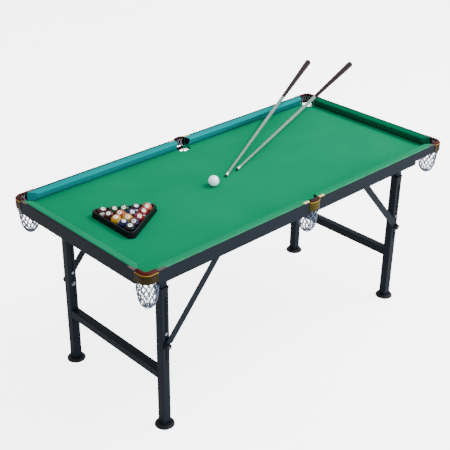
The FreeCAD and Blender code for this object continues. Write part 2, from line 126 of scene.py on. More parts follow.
def finish_material(name, color, roughness, metallic=0.0, grain=900.0, bump=0.1, depth=0.0002,
                    blotch=30.0, vary=0.12, stretch=(1, 1, 1), coat=0.0, specular=0.5):
    """A surface with soft blotches of tone, uneven gloss and a fine grain."""
    mat = bpy.data.materials.new(name)
    mat.use_nodes = True
    tree, shader = nodes_of(mat)
    place = coordinates(tree, stretch)
    tone = add(tree, "ShaderNodeTexNoise", Scale=blotch, Detail=3.0)
    tree.links.new(place, tone.inputs["Vector"])
    ramp = add(tree, "ShaderNodeValToRGB")
    dark = [c * (1 - vary) for c in color]
    light = [min(1.0, c * (1 + vary)) for c in color]
    ramp.color_ramp.elements[0].position = 0.3
    ramp.color_ramp.elements[1].position = 0.7
    ramp.color_ramp.elements[0].color = (*dark, 1)
    ramp.color_ramp.elements[1].color = (*light, 1)
    tree.links.new(tone.outputs["Fac"], ramp.inputs["Fac"])
    tree.links.new(ramp.outputs["Color"], shader.inputs["Base Color"])
    gloss = add(tree, "ShaderNodeMapRange")
    gloss.inputs["To Min"].default_value = roughness * 0.88
    gloss.inputs["To Max"].default_value = min(1.0, roughness * 1.12)
    tree.links.new(tone.outputs["Fac"], gloss.inputs["Value"])
    tree.links.new(gloss.outputs["Result"], shader.inputs["Roughness"])
    fine = add(tree, "ShaderNodeTexNoise", Scale=grain, Detail=2.0)
    tree.links.new(place, fine.inputs["Vector"])
    lift = add(tree, "ShaderNodeBump", Strength=bump, Distance=depth)
    tree.links.new(fine.outputs["Fac"], lift.inputs["Height"])
    tree.links.new(lift.outputs["Normal"], shader.inputs["Normal"])
    shader.inputs["Metallic"].default_value = metallic
    shader.inputs["Coat Weight"].default_value = coat
    shader.inputs["Coat Roughness"].default_value = 0.12
    shader.inputs["Specular IOR Level"].default_value = specular
    return mat


def cloth_material(name, color):
    """Napped cloth: a weave of two crossed ripples under a short felt."""
    mat = finish_material(name, color, 0.92, grain=1400.0, bump=0.35, depth=0.0004,
                          blotch=6.0, vary=0.05, specular=0.0)
    tree = mat.node_tree
    lift = next(n for n in tree.nodes if n.type == "BUMP")
    place = coordinates(tree)
    weave = []
    for direction in ("X", "Y"):
        wave = add(tree, "ShaderNodeTexWave", Scale=420.0, Distortion=0.6,
                   bands_direction=direction)
        tree.links.new(place, wave.inputs["Vector"])
        weave.append(wave)
    both = add(tree, "ShaderNodeMath", operation="ADD")
    tree.links.new(weave[0].outputs["Fac"], both.inputs[0])
    tree.links.new(weave[1].outputs["Fac"], both.inputs[1])
    second = add(tree, "ShaderNodeBump", Strength=0.18, Distance=0.0003)
    tree.links.new(both.outputs["Value"], second.inputs["Height"])
    tree.links.new(second.outputs["Normal"], lift.inputs["Normal"])
    return mat


def leather_material(name, color, roughness=0.46):
    """Grained leather: small cells with creased edges."""
    mat = finish_material(name, color, roughness, grain=700.0, bump=0.2, blotch=45.0, vary=0.3,
                          specular=0.06)
    tree = mat.node_tree
    lift = next(n for n in tree.nodes if n.type == "BUMP")
    cells = add(tree, "ShaderNodeTexVoronoi", Scale=520.0, feature="DISTANCE_TO_EDGE")
    tree.links.new(coordinates(tree), cells.inputs["Vector"])
    crease = add(tree, "ShaderNodeBump", Strength=0.55, Distance=0.0004)
    tree.links.new(cells.outputs["Distance"], crease.inputs["Height"])
    tree.links.new(crease.outputs["Normal"], lift.inputs["Normal"])
    return mat


def grain_material(name, color, roughness, vary=0.25, coat=0.3):
    """Wood with its grain drawn out along X."""
    return finish_material(name, color, roughness, grain=260.0, bump=0.08, blotch=120.0,
                           vary=vary, stretch=(0.06, 1, 1), coat=coat, specular=0.06)


MATERIALS = {
    "cloth": cloth_material("green cloth", (0.0, 0.149, 0.067)),
    # painted highlight: the bed cloth made a little lighter for the front and left rail tops,
    # which catch the light
    "lit_rail_cloth": cloth_material("green rail cloth", (0.004, 0.152, 0.070)),
    # painted light: the bed cloth tinted teal by the blue front light on the back cushions
    "blue_lit_cloth": cloth_material("cloth painted with blue light", (0.0, 0.175, 0.178)),
    # painted shade: the bed cloth darkened for the right end cushion, whose face is turned from
    # the light
    "painted_shade_cloth": cloth_material("cloth darkened as painted shade", (0.0, 0.078, 0.036)),
    "board": finish_material("raw board", (0.060, 0.042, 0.028), 0.85, grain=600.0, bump=0.3,
                             vary=0.15, specular=0.05),
    "apron": finish_material("black apron paper", (0.0056, 0.0082, 0.0122), 0.50, grain=1600.0,
                             bump=0.12, vary=0.15, specular=0.045),
    # painted highlight: a pale green for the front apron's top, where light glints off its edge
    "painted_edge_highlight": finish_material("painted highlight on the front rail top", (0.018, 0.185, 0.088), 0.9,
                                 grain=1200.0, bump=0.1, vary=0.2, specular=0.05),
    "leg_metal": finish_material("black powder coat", (0.0056, 0.0080, 0.0118), 0.45,
                                 grain=1900.0, bump=0.22, vary=0.12, specular=0.045),
    "brace_metal": finish_material("black brace coat", (0.0060, 0.0088, 0.0128), 0.45,
                                   grain=1900.0, bump=0.22, vary=0.12, specular=0.045),
    "bolt_steel": finish_material("zinc steel", (0.15, 0.15, 0.16), 0.32, metallic=1.0,
                                  grain=800.0, bump=0.08, vary=0.08),
    "black_plastic": finish_material("black plastic", (0.0045, 0.0056, 0.0075), 0.40,
                                     grain=1200.0, bump=0.12, vary=0.1, specular=0.06),
    "foot_rubber": finish_material("black foot plastic", (0.0075, 0.0080, 0.0100), 0.46,
                                   grain=900.0, bump=0.18, vary=0.15, specular=0.08),
    "liner": leather_material("maroon leather", (0.038, 0.0045, 0.0040)),
    "middle_leather": leather_material("dark leather", (0.016, 0.004, 0.0040)),
    "liner_face": leather_material("bronze grained face", (0.0165, 0.0098, 0.0008), 0.40),
    "middle_face": leather_material("ochre grained face", (0.040, 0.0275, 0.0010), 0.40),
    "gold": finish_material("gold piping", (0.34, 0.17, 0.008), 0.34, metallic=0.2, grain=900.0,
                            bump=0.15, vary=0.15, specular=0.2),
    "corner_plate": finish_material("dull steel plate", (0.060, 0.050, 0.048), 0.40, metallic=0.3,
                                    grain=500.0, bump=0.06, vary=0.1, specular=0.2),
    "plate": finish_material("brass plate", (0.62, 0.50, 0.20), 0.30, metallic=0.3, grain=500.0,
                             bump=0.06, vary=0.08, stretch=(1, 14, 1)),
    # painted shade: the pale net cord darkened to grey-blue to stand for the shade on its white
    # cords; the lacing keeps the pale tone
    "net": finish_material("net cord darkened as painted shade", (0.085, 0.105, 0.145), 0.75, grain=1500.0, bump=0.5,
                           depth=0.0005, vary=0.25, blotch=80.0, specular=0.1),
    "lacing": finish_material("pale net cord", (0.30, 0.32, 0.35), 0.75, grain=1500.0, bump=0.5,
                              depth=0.0005, vary=0.25, blotch=80.0, specular=0.1),
    "rack_plastic": finish_material("black rack plastic", (0.0033, 0.0044, 0.0056), 0.34,
                                    grain=700.0, bump=0.06, vary=0.12, specular=0.09),
    "cue_shaft": grain_material("pale cue wood", (0.115, 0.180, 0.148), 0.26),
    "cue_butt": grain_material("dark cue butt", (0.0095, 0.0034, 0.0042), 0.38, vary=0.4,
                               coat=0.0),
    "ferrule": finish_material("white ferrule", (0.60, 0.60, 0.56), 0.3, vary=0.04),
    "tip": finish_material("chalked tip", (0.012, 0.018, 0.024), 0.9, grain=1800.0, bump=0.5,
                           specular=0.05),
    "cue_ball": finish_material("ivory ball", (0.68, 0.88, 0.93), 0.14, grain=60.0, bump=0.01,
                                vary=0.02, coat=0.3),
    "facing": finish_material("black rubber facing", (0.004, 0.006, 0.005), 0.7, vary=0.2,
                              specular=0.05),
    "ink": finish_material("black ink", (0.006, 0.006, 0.007), 0.25, vary=0.1, specular=0.1),
}


# ---------------------------------------------------------------- shapes
def make(name, verts, faces, material, body="table_top"):
    """A smooth mesh piece in the shared frame that rides on a body."""
    mesh = bpy.data.meshes.new(name)
    mesh.from_pydata([tuple(v) for v in verts], [], faces)
    mesh.validate()
    shell = bmesh.new()
    shell.from_mesh(mesh)
    bmesh.ops.recalc_face_normals(shell, faces=shell.faces)
    shell.to_mesh(mesh)
    shell.free()
    piece = bpy.data.objects.new(name, mesh)
    bpy.context.collection.objects.link(piece)
    mesh.materials.append(MATERIALS[material])
    mesh.polygons.foreach_set("use_smooth", [True] * len(mesh.polygons))
    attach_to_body(piece, body)
    return piece


def bevel(piece, width):
    """Softens every edge sharper than 35 degrees."""
    mod = piece.modifiers.new("edge", "BEVEL")
    mod.width = width
    mod.segments = 2
    mod.limit_method = "ANGLE"
    mod.angle_limit = math.radians(35)


def grid_faces(rows, columns, close_rows=False, close_columns=False):
    """Quads over rows x columns of points, wrapped round where asked."""
    faces = []
    for r in range(rows if close_rows else rows - 1):
        for c in range(columns if close_columns else columns - 1):
            r1, c1 = (r + 1) % rows, (c + 1) % columns
            faces.append((r * columns + c, r * columns + c1,
                          r1 * columns + c1, r1 * columns + c))
    return faces


def cord_mesh(paths, radius, sides=6):
    """Verts and faces of round cords along several open paths."""
    askew = Vector((0.31, 0.17, 0.93))  # a direction that no cord runs along
    verts, faces = [], []
    for path in paths:
        start = len(verts)
        for i, point in enumerate(path):
            before, after = path[max(i - 1, 0)], path[min(i + 1, len(path) - 1)]
            way = (after - before).normalized()
            side = way.cross(askew).normalized()
            up = way.cross(side)
            for k in range(sides):
                turn = 2 * math.pi * k / sides
                verts.append(point + radius * (math.cos(turn) * side + math.sin(turn) * up))
        ring = grid_faces(len(path), sides, close_columns=True)
        faces += [tuple(start + i for i in face) for face in ring]
    return verts, faces


def ball_mesh(centre, radius, rings=4, sides=6):
    """Verts and faces of a closed ball."""
    verts = [centre + Vector((0, 0, radius)), centre - Vector((0, 0, radius))]
    for r in range(1, rings):
        a = math.pi * r / rings
        for k in range(sides):
            b = 2 * math.pi * k / sides
            way = Vector((math.sin(a) * math.cos(b), math.sin(a) * math.sin(b), math.cos(a)))
            verts.append(centre + radius * way)
    faces = []
    for k in range(sides):
        n = (k + 1) % sides
        faces.append((0, 2 + k, 2 + n))
        last = 2 + (rings - 2) * sides
        faces.append((1, last + n, last + k))
        for r in range(rings - 2):
            a = 2 + r * sides
            faces.append((a + k, a + sides + k, a + sides + n, a + n))
    return verts, faces


def joined(parts):
    """Several (verts, faces) pairs as one."""
    verts, faces = [], []
    for more, rings in parts:
        start = len(verts)
        verts += list(more)
        faces += [tuple(start + i for i in face) for face in rings]
    return verts, faces


def turned(profile, steps):
    """Verts and faces of a (radius, height) profile turned about Z."""
    verts = []
    for s in range(steps):
        a = 2 * math.pi * s / steps
        verts += [Vector((r * math.cos(a), r * math.sin(a), z)) for r, z in profile]
    return verts, grid_faces(steps, len(profile), close_rows=True)


def box_centre(points):
    """The centre of the box round some points."""
    low = Vector([min(p[i] for p in points) for i in range(3)])
    high = Vector([max(p[i] for p in points) for i in range(3)])
    return (low + high) / 2


# ---------------------------------------------------------------- bed cloth
def cloth_quarter(grow, drop):
    """One quarter of the cloth's edge, from a middle pocket round to an end rail.

    The holes are larger by grow and the edge is lower by drop. The cloth rolls down only
    inside the holes. Along the board's own edge it stops under the rail.
    """
    deepest_under_rail = -2.0 * MM
    z = BED_Z + drop
    edge_z = BED_Z + max(drop, deepest_under_rail)
    middle_steps, corner_steps = 36, 48
    points = []
    radius = MIDDLE_HOLE + grow
    end = math.asin((BOARD_Y - MIDDLE_Y) / radius)
    for i in range(middle_steps + 1):
        a = -math.pi / 2 + (end + math.pi / 2) * i / middle_steps
        points.append(Vector((radius * math.cos(a), MIDDLE_Y + radius * math.sin(a), z)))
    points.append(Vector((POCKET_X, BOARD_Y, edge_z)))
    radius = CORNER_HOLE + grow
    for i in range(corner_steps + 1):
        a = math.pi / 2 + 1.5 * math.pi * i / corner_steps
        x, y = POCKET_X + radius * math.cos(a), POCKET_Y + radius * math.sin(a)
        points.append(Vector((x, y, z)))
    points.append(Vector((BOARD_X, POCKET_Y, edge_z)))
    return points


def whole_edge(grow, drop):
    """The quarter mirrored round the table into one closed loop."""
    quarter = cloth_quarter(grow, drop)
    turns = [(1, 1), (1, -1), (-1, -1), (-1, 1)]
    loop = []
    for i, (sx, sy) in enumerate(turns):
        part = [Vector((sx * p.x, sy * p.y, p.z)) for p in quarter]
        loop += part if i % 2 == 0 else list(reversed(part))
    return [p for i, p in enumerate(loop) if (p - loop[i - 1]).length > 1e-6]


def bed_cloth():
    """Cloth stretched over the board and rolled down into the six pocket holes."""
    # how much larger than the hole, and how far below the bed, in mm
    levels = [(1.4, 0.0), (0.5, -0.25), (-0.2, -0.8), (-0.6, -1.8), (-0.6, -9.0), (-0.9, -13.0)]
    rings = [whole_edge(grow * MM, drop * MM) for grow, drop in levels]
    count = len(rings[0])
    verts = [p for ring in rings for p in ring]
    faces = grid_faces(len(rings), count, close_columns=True)
    piece = make("bed_cloth_sheet", verts, faces, "cloth")
    mesh = bmesh.new()
    mesh.from_mesh(piece.data)
    mesh.verts.ensure_lookup_table()
    top = mesh.faces.new([mesh.verts[i] for i in range(count)])
    top.smooth = False  # the rims' leaning normals would shade the whole bed
    bmesh.ops.triangulate(mesh, faces=[top])
    bmesh.ops.recalc_face_normals(mesh, faces=mesh.faces)
    top_area = sum(face.calc_area() for face in mesh.faces if face.normal.z > 0.9)
    mesh.to_mesh(piece.data)
    mesh.free()
    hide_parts("bed_cloth")


# ---------------------------------------------------------------- cushions
def cushion_profile():
    """The bar's section from its back foot, over the top, round the nose and under.

    Each point is (distance in from the rail, height), worked out in mm above the bed.
    """
    height = (RAIL_Z - BED_Z) / MM
    foot = 0.3
    top_start, top_width, top_fall, top_crown = 1.6, 17.4, 0.9, 0.15
    nose_centre, nose_drop, nose_radius = 21.2, 5.6, 4.8
    steps = 7
    points = [(0.0, foot), (0.0, height - 1.4), (0.5, height - 0.5), (top_start, height - 0.05)]
    for i in range(1, steps + 1):
        v = top_start + top_width * i / steps
        rise = top_crown * math.sin(math.pi * i / steps)
        points.append((v, height - top_fall * (i / steps) ** 2 + rise))
    for i in range(1, steps + 1):
        a = math.radians(80 - 100 * i / steps)
        points.append((nose_centre + nose_radius * math.cos(a),
                       height - nose_drop + nose_radius * math.sin(a)))
    points += [(24.4, height - 10.5), (21.6, height - 18.0), (18.6, foot)]
    return [(v * MM, BED_Z + z * MM) for v, z in points]


def cushion(name, origin, along, inward, back, nose, material, facings=0):
    """Rubber under stretched cloth.

    back and nose are where the back and the nose start and end. facings is how many ends,
    counted from the start, show bare rubber.
    """
    profile = cushion_profile()
    ripple = 0.22 * MM
    rings = []
    for s in range(CUSHION_STEPS + 1):
        ring = []
        for k, (v, z) in enumerate(profile):
            lean = min(v / NOSE_REACH, 1.0)
            start = back[0] + (nose[0] - back[0]) * lean
            stop = back[1] + (nose[1] - back[1]) * lean
            point = origin + along * (start + (stop - start) * s / CUSHION_STEPS) + inward * v
            wave = noise.noise(point * 22.0) * ripple if 2 < k < len(profile) - 1 else 0.0
            ring.append(Vector((point.x, point.y, z + wave)))
        rings.append(ring)
    # how far out each ring of a rounded end is, in mm, and its share of the full section
    rounding = ((0.5, 0.995), (1.0, 0.97), (1.25, 0.92), (1.35, 0.86))
    for end, way in ((0, -1), (-1, 1)):
        edge = rings[end]
        middle = sum(edge, Vector()) / len(edge)
        for out, size in rounding:
            ring = [middle + (p - middle) * size + along * way * out * MM for p in edge]
            if way < 0:
                rings.insert(0, ring)
            else:
                rings.append(ring)
    count = len(profile)
    verts = [p for ring in rings for p in ring]
    faces = grid_faces(len(rings), count, close_columns=True)
    faces.append(tuple(range(count)))
    last = (len(rings) - 1) * count
    faces.append(tuple(last + i for i in reversed(range(count))))
    bar = make(name + "_cover", verts, faces, material)
    bar.data.materials.append(MATERIALS["facing"])
    for i, face in enumerate(bar.data.polygons[-2:]):
        face.use_smooth = False
        face.material_index = int(i < facings)
    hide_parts(name)


def cushions():
    """Four long cushions and one at each end, in copies of the bed cloth with painted light:
    painted blue light on the back ones, painted shade on the right end and a faint painted
    highlight on the front ones and the left end.
    """
    slack = 1.4 * MM  # left for the rounded ends
    back_start, nose_start = 24 * MM, 30 * MM  # of a long cushion, from the middle pocket
    # the back cushions get the cloth with painted blue light, the front ones the cloth with a
    # faint painted highlight
    for where, (sx, sy) in SIDES.items():
        cushion("cushion_" + where, Vector((0, sy * BOARD_Y, 0)), Vector((sx, 0, 0)),
                Vector((0, -sy, 0)), (back_start + slack, CORNER_X - slack),
                (nose_start + slack, CORNER_X - NOSE_REACH - slack),
                "blue_lit_cloth" if sy > 0 else "lit_rail_cloth", facings=1)
    end = CORNER_Y - slack
    # the right end cushion gets the cloth with painted shade, the left one the cloth with a faint
    # painted highlight
    for where, sx in (("right", 1), ("left", -1)):
        cushion(f"cushion_{where}_end", Vector((sx * BOARD_X, 0, 0)), Vector((0, 1, 0)),
                Vector((-sx, 0, 0)), (-end, end), (NOSE_REACH - end, end - NOSE_REACH),
                "painted_shade_cloth" if sx > 0 else "lit_rail_cloth")


# ---------------------------------------------------------------- pocket liners
def corner_path():
    """Stations round a corner pocket, each with its outward way, from rail end to rail end."""
    hub = Vector((HALF_LENGTH - CORNER_ROUND, HALF_WIDTH - CORNER_ROUND, 0))
    straight, steps = 6, 14
    path = []
    for i in range(straight):
        x = CORNER_X + (hub.x - CORNER_X) * i / straight
        path.append((Vector((x, HALF_WIDTH, 0)), Vector((0, 1, 0))))
    for i in range(steps + 1):
        a = math.pi / 2 * (1 - i / steps)
        way = Vector((math.cos(a), math.sin(a), 0))
        path.append((hub + way * CORNER_ROUND, way))
    for i in range(1, straight + 1):
        y = hub.y + (CORNER_Y - hub.y) * i / straight
        path.append((Vector((HALF_LENGTH, y, 0)), Vector((1, 0, 0))))
    return path


def middle_path():
    """Stations round a middle pocket's outer side, each with its outward way."""
    reach = 38 * MM
    half = math.asin(23.7 / 36.2)  # half the rail's opening, seen from the pocket's centre
    steps = 24
    path = []
    for i in range(steps + 1):
        a = math.pi / 2 + half * (1 - 2 * i / steps)
        way = Vector((math.cos(a), math.sin(a), 0))
        path.append((Vector((0, MIDDLE_Y, 0)) + way * reach, way))
    return path


def swept(name, path, profile, material, sx, sy, lining=None):
    """A closed (depth, height) section in mm carried along a path of stations.

    The sides of the section from the one numbered lining on are dark leather.
    """
    verts = []
    for point, way in path:
        for depth, z in profile:
            p = point - way * depth * MM
            verts.append(Vector((sx * p.x, sy * p.y, z * MM)))
    count = len(profile)
    faces = grid_faces(len(path), count, close_columns=True)
    faces.append(tuple(range(count - 1, -1, -1)))
    faces.append(tuple((len(path) - 1) * count + i for i in range(count)))
    piece = make(name, verts, faces, material)
    if lining is not None:
        piece.data.materials.append(MATERIALS["middle_leather"])
        for i, face in enumerate(piece.data.polygons[:-2]):
            face.material_index = int(i % count >= lining)
    bevel(piece, 0.4 * MM)
    return piece


def liner(name, path, leather, face, rim, sx, sy, materials=("liner", "liner_face")):
    """A pocket's leather top, its grained outer face and the gold piping between them."""
    inner_side = 8  # the first side of both face sections that looks into the pocket
    pieces = [
        swept(name + "_leather", path, leather, materials[0], sx, sy),
        swept(name + "_face", path, face, materials[1], sx, sy, lining=inner_side),
    ]
    line = []
    for point, way in path:
        p = point - way * rim[0] * MM
        line.append(Vector((sx * p.x, sy * p.y, rim[1] * MM)))
    verts, faces = cord_mesh([line], 1.0 * MM, 10)
    pieces.append(make(name + "_piping", verts, faces, "gold"))
    for piece in pieces:
        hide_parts(name)


def ledge(name, sx, sy):
    """The flat lip that joins a corner liner's skirt to the hole in the board."""
    skirt, reach = 3.2 * MM, CORNER_HOLE + 0.2 * MM
    low, high = 617.0, 619.4
    outer = [p - way * skirt for p, way in corner_path() if p.x > POCKET_X and p.y > POCKET_Y]
    outer = [Vector((POCKET_X, HALF_WIDTH - skirt, 0))] + outer
    outer += [Vector((HALF_LENGTH - skirt, POCKET_Y, 0))]
    verts = []
    for i, far in enumerate(outer):
        a = math.pi / 2 * (1 - i / (len(outer) - 1))
        near = Vector((POCKET_X + reach * math.cos(a), POCKET_Y + reach * math.sin(a), 0))
        for p, z in ((far, low), (far, high), (near, high), (near, low)):
            verts.append(Vector((sx * p.x, sy * p.y, z * MM)))
    faces = grid_faces(len(outer), 4, close_columns=True)
    faces += [(3, 2, 1, 0), tuple(4 * (len(outer) - 1) + i for i in range(4))]
    piece = make(name + "_ledge", verts, faces, "black_plastic")
    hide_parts(name)


def liners():
    """Six liners. Their sections are (depth in from the outside, height), both in mm."""
    leather = [
        (0.4, 646.9), (0.9, 649.0), (2.4, 651.3), (5.0, 653.2), (8.0, 654.3), (10.6, 654.5),
        (12.7, 653.9), (13.8, 652.3), (13.9, 650.0), (13.0, 648.0), (11.0, 646.8), (5.0, 646.3),
    ]
    face = [
        (0.2, 617.2), (-0.6, 617.4), (-0.9, 618.4), (-1.1, 626.0), (-1.2, 636.0), (-1.1, 642.5),
        (-0.6, 645.0), (0.6, 646.2), (3.0, 646.0), (3.2, 643.0), (3.0, 619.6), (3.0, 617.2),
    ]
    for where, (sx, sy) in SIDES.items():
        name = "liner_" + where
        liner(name, corner_path(), leather, face, (-0.4, 646.4), sx, sy)
        ledge(name, sx, sy)
    leather = [
        (0.9, 646.6), (1.6, 649.0), (3.6, 651.6), (6.8, 653.7), (10.0, 654.4), (13.4, 654.2),
        (16.0, 652.6), (16.8, 650.4), (16.2, 648.0), (14.0, 646.9), (6.0, 646.5), (3.0, 646.2),
    ]
    face = [
        (2.9, 615.4), (0.9, 615.4), (0.3, 616.2), (0.1, 624.0), (0.0, 634.0), (0.1, 641.0),
        (0.6, 644.4), (1.4, 645.8), (3.2, 645.6), (3.1, 641.0),
    ]
    for where, sy in (("back_middle", 1), ("front_middle", -1)):
        liner("liner_" + where, middle_path(), leather, face, (0.5, 645.9), 1, sy,
              ("middle_leather", "middle_face"))


# ---------------------------------------------------------------- nets
def net_points(centre, top, low, radius, attach, seed):
    """Knots of a hanging net, row by row. The first row hangs where attach says."""
    turn_play, reach_play, height_play = 0.05, 0.03, 1.3 * MM
    fullness = 3.2  # a larger power keeps the bag wide further down
    wobble = random.Random(seed)
    knots = []
    for level in range(NET_ROWS + 1):
        t = level / NET_ROWS
        ring = []
        for j in range(NET_COLUMNS):
            a = 2 * math.pi * (j + 0.5 * (level % 2)) / NET_COLUMNS
            a += turn_play * wobble.uniform(-1, 1)
            reach = radius * math.sqrt(max(0.0, 1 - (0.06 + 0.94 * t) ** fullness))
            reach *= 1 + reach_play * wobble.uniform(-1, 1)
            height = top - (top - low) * t + height_play * wobble.uniform(-1, 1)
            if level == 0:
                reach, height = attach(a)
            if level == NET_ROWS:  # the ring that closes the bag
                reach, height = 5.0 * MM, low + 1.5 * MM
            x, y = centre.x + reach * math.cos(a), centre.y + reach * math.sin(a)
            ring.append(Vector((x, y, height)))
        knots.append(ring)
    return knots


def net(name, centre, knots):
    """Cord between the knots, each strand bellied out a little, with a bead per knot."""
    sag, belly = Vector((0, 0, -0.6 * MM)), 0.9 * MM
    paths = []
    for level, (here, below) in enumerate(zip(knots, knots[1:])):
        for j in range(NET_COLUMNS):
            beside = (j - 1 if level % 2 == 0 else j + 1) % NET_COLUMNS
            for n in (j, beside):
                a, b = here[j], below[n]
                middle = (a + b) / 2 + sag
                outward = Vector((middle.x, middle.y, 0)) - Vector((centre.x, centre.y, 0))
                if outward.length > 1e-5:
                    middle += outward.normalized() * belly
                paths.append([a, a.lerp(middle, 0.55), middle, b.lerp(middle, 0.55), b])
    last = knots[-1]
    paths.append(last + [last[0]])
    parts = [cord_mesh(paths, NET_CORD)]
    for level, ring in enumerate(knots):
        for knot in ring:
            parts.append(ball_mesh(knot, NET_KNOT if level else LACE_KNOT))
    verts, faces = joined(parts)
    piece = make(name + "_cords", verts, faces, "net")
    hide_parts(name)


def lacing(name, path, columns, sx, sy, low):
    """The net's top row, laced in crosses up the inside of a pocket's liner."""
    depth = 4.8 * MM
    first, share = 0.04, 0.92  # of the wall's length, so the ends stay clear
    wall = [point - way * depth for point, way in path]
    lengths = [0.0]
    for a, b in zip(wall, wall[1:]):
        lengths.append(lengths[-1] + (b - a).length)
    posts = []
    for i in range(columns + 1):
        reach = lengths[-1] * (first + share * i / columns)
        k = max(j for j in range(len(wall) - 1) if lengths[j] <= reach)
        spot = wall[k].lerp(wall[k + 1], (reach - lengths[k]) / (lengths[k + 1] - lengths[k]))
        posts.append(Vector((sx * spot.x, sy * spot.y, 0)))
    paths, knots = [], []
    for i in range(columns):
        for a, b in ((posts[i], posts[i + 1]), (posts[i + 1], posts[i])):
            top, foot = a + Vector((0, 0, LACE_TOP)), b + Vector((0, 0, low))
            paths.append([top, top.lerp(foot, 0.5), foot])
        knots.append((posts[i] + posts[i + 1]) / 2 + Vector((0, 0, (low + LACE_TOP) / 2)))
    parts = [cord_mesh(paths, LACE_CORD)] + [ball_mesh(knot, LACE_KNOT) for knot in knots]
    verts, faces = joined(parts)
    piece = make(name + "_lacing", verts, faces, "lacing")
    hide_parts(name)


def nets():
    """Six nets, each tied under the board's hole and under its liner."""
    under_board = 610.6 * MM

    def corner_attach(sx, sy):
        """(reach, height) of the rim: a rounded square under the liner, else the hole."""
        square = 4.35  # a power of 2 would make it a circle
        half_side, hole = 33.5 * MM, 27.4 * MM
        tolerance = 0.02

        def attach(a):
            x, y = math.cos(a) * sx, math.sin(a) * sy
            if x > -tolerance and y > -tolerance:
                spread = (abs(x) ** square + abs(y) ** square) ** (1 / square)
                return half_side / spread, 616.4 * MM
            return hole, under_board
        return attach

    def middle_attach(sy):
        """(reach, height) of the rim: a wider arc under the liner, else the hole."""
        arc, hole = 36.3 * MM, 27.8 * MM

        def attach(a):
            outside = math.sin(a) * sy > 0.80
            return (arc, 614.4 * MM) if outside else (hole, under_board)
        return attach

    for i, (where, (sx, sy)) in enumerate(SIDES.items()):
        name = "net_" + where
        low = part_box(name)[0][2]
        centre = Vector((sx * POCKET_X, sy * POCKET_Y, 0))
        knots = net_points(centre, top=612 * MM, low=low, radius=31.5 * MM,
                           attach=corner_attach(sx, sy), seed=11 + i)
        net(name, centre, knots)
        lacing(name, corner_path(), 6, sx, sy, low=621.0 * MM)
    for i, (where, sy) in enumerate((("back_middle", 1), ("front_middle", -1))):
        name = "net_" + where
        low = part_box(name)[0][2]
        centre = Vector((0, sy * MIDDLE_Y, 0))
        knots = net_points(centre, top=610 * MM, low=low, radius=30.5 * MM,
                           attach=middle_attach(sy), seed=31 + i)
        net(name, centre, knots)
        lacing(name, middle_path(), 4, 1, sy, low=617.0 * MM)


# ---------------------------------------------------------------- balls
BALL_COLORS = {
    1: (0.38, 0.19, 0.005),
    2: (0.004, 0.007, 0.050),
    3: (0.14, 0.004, 0.008),
    4: (0.012, 0.003, 0.020),
    5: (0.26, 0.050, 0.020),
    6: (0.003, 0.030, 0.015),
    7: (0.036, 0.003, 0.004),
    8: (0.003, 0.003, 0.004),
}
BALL_WHITE = (0.80, 0.79, 0.74, 1)
# rows from the apex to the back of the rack, left to right as seen from the apex
RACK_ORDER = ((8,), (10, 4), (1, 9, 3), (7, 5, 2, 11), (15, 6, 14, 12, 13))


def ball_material(number):
    """Solid or striped, with a white number disc on both sides."""
    stripe_half, disc_angle, soft = 0.74, math.radians(23), 0.012
    color = BALL_COLORS[number if number <= 8 else number - 8]
    mat = bpy.data.materials.new(f"ball {number}")
    mat.use_nodes = True
    tree, shader = nodes_of(mat)
    place = add(tree, "ShaderNodeTexCoord")
    axes = add(tree, "ShaderNodeSeparateXYZ")
    way = add(tree, "ShaderNodeVectorMath", operation="NORMALIZE")
    tree.links.new(place.outputs["Object"], way.inputs[0])
    tree.links.new(way.outputs["Vector"], axes.inputs["Vector"])

    def above(socket, limit):
        """1 where the socket's value is further from 0 than the limit, with a soft edge."""
        size = add(tree, "ShaderNodeMath", operation="ABSOLUTE")
        tree.links.new(socket, size.inputs[0])
        test = add(tree, "ShaderNodeMapRange")
        test.inputs["From Min"].default_value = limit - soft
        test.inputs["From Max"].default_value = limit + soft
        tree.links.new(size.outputs["Value"], test.inputs["Value"])
        return test.outputs["Result"]

    speck = add(tree, "ShaderNodeTexNoise", Scale=90.0, Detail=2.0)
    tree.links.new(place.outputs["Object"], speck.inputs["Vector"])
    shade = add(tree, "ShaderNodeMix", data_type="RGBA")
    shade.inputs["A"].default_value = (*[c * 0.93 for c in color], 1)
    shade.inputs["B"].default_value = (*color, 1)
    tree.links.new(speck.outputs["Fac"], shade.inputs["Factor"])
    base = shade.outputs["Result"]
    if number > 8:
        stripe = add(tree, "ShaderNodeMix", data_type="RGBA")
        tree.links.new(above(axes.outputs["Y"], stripe_half), stripe.inputs["Factor"])
        tree.links.new(base, stripe.inputs["A"])
        stripe.inputs["B"].default_value = BALL_WHITE
        base = stripe.outputs["Result"]
    disc = add(tree, "ShaderNodeMix", data_type="RGBA")
    tree.links.new(above(axes.outputs["Z"], math.cos(disc_angle)), disc.inputs["Factor"])
    tree.links.new(base, disc.inputs["A"])
    disc.inputs["B"].default_value = BALL_WHITE
    tree.links.new(disc.outputs["Result"], shader.inputs["Base Color"])
    shader.inputs["Roughness"].default_value = 0.16
    shader.inputs["Specular IOR Level"].default_value = 0.12
    shader.inputs["Coat Weight"].default_value = 0.05
    shader.inputs["Coat Roughness"].default_value = 0.06
    return mat


